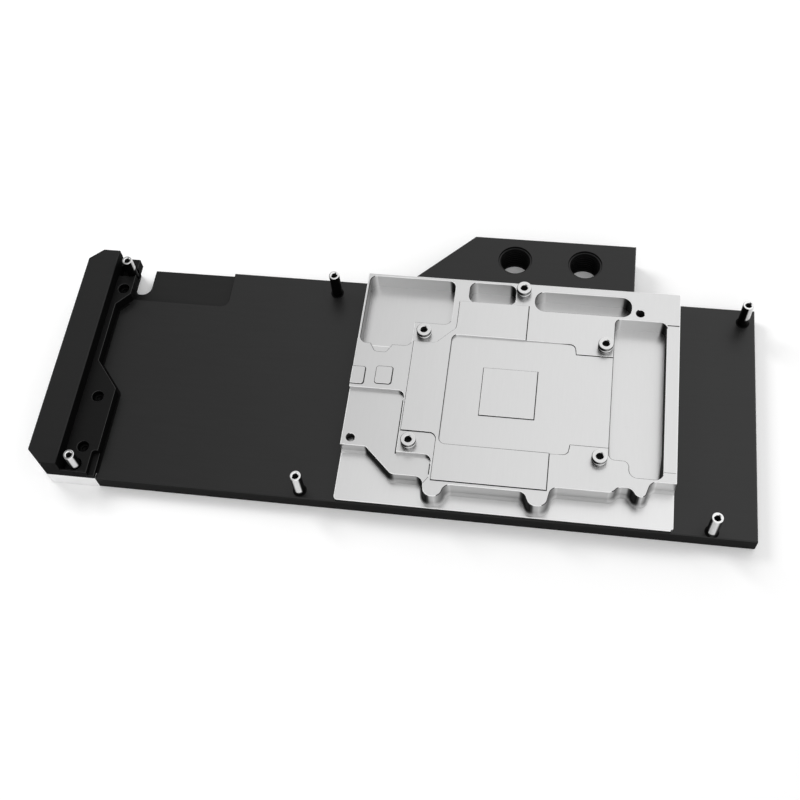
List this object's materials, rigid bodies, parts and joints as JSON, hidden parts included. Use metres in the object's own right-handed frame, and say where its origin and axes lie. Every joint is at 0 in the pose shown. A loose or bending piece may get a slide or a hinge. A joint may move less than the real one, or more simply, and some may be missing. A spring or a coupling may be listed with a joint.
{
  "type": "gpu water block",
  "caption": "Full-cover water block for a graphics card, lying on its front: stepped nickel cold plate with pockets, black top plate, port terminal, end cover and standoffs.",
  "frame": {"origin": "middle of the whole part's bounding box, on the flat underside it rests on", "axes": "+X along the long side towards the end without the cover, +Y towards the port terminal, +Z from the front face up to the side that meets the card"},
  "size_m": [0.2692, 0.1212, 0.0196],
  "materials": {
    "black_plastic": "fine satin, as bead blasted",
    "cover_black": "fine satin",
    "nickel_plate": "fine milled satin, nickel plated copper",
    "nickel_posts": "turned, nickel plated brass",
    "white_diffuser": "frosted, translucent",
    "seal_rubber": "moulded",
    "steel_sheet": "rolled",
    "black_screws": "black oxide",
    "circuit_strip": "white solder mask"
  },
  "bodies": {
    "root": {"cold_plate": "nickel_plate", "cover_screw_far": "black_screws", "cover_screw_middle": "black_screws", "cover_screw_near": "black_screws", "end_cover": "cover_black", "end_diffuser": "white_diffuser", "gpu_standoff_far_left": "nickel_posts", "gpu_standoff_far_right": "nickel_posts", "gpu_standoff_near_left": "nickel_posts", "gpu_standoff_near_right": "nickel_posts", "inlet_seal": "seal_rubber", "jet_plate": "steel_sheet", "light_strip": "circuit_strip", "main_seal": "seal_rubber", "outlet_seal": "seal_rubber", "port_standoff": "nickel_posts", "standoff_end_far": "nickel_posts", "standoff_end_near": "nickel_posts", "standoff_middle_far": "nickel_posts", "standoff_middle_near": "nickel_posts", "standoff_right_far": "nickel_posts", "standoff_right_near": "nickel_posts", "terminal": "black_plastic", "top_plate": "black_plastic"}
  },
  "joints": []
}
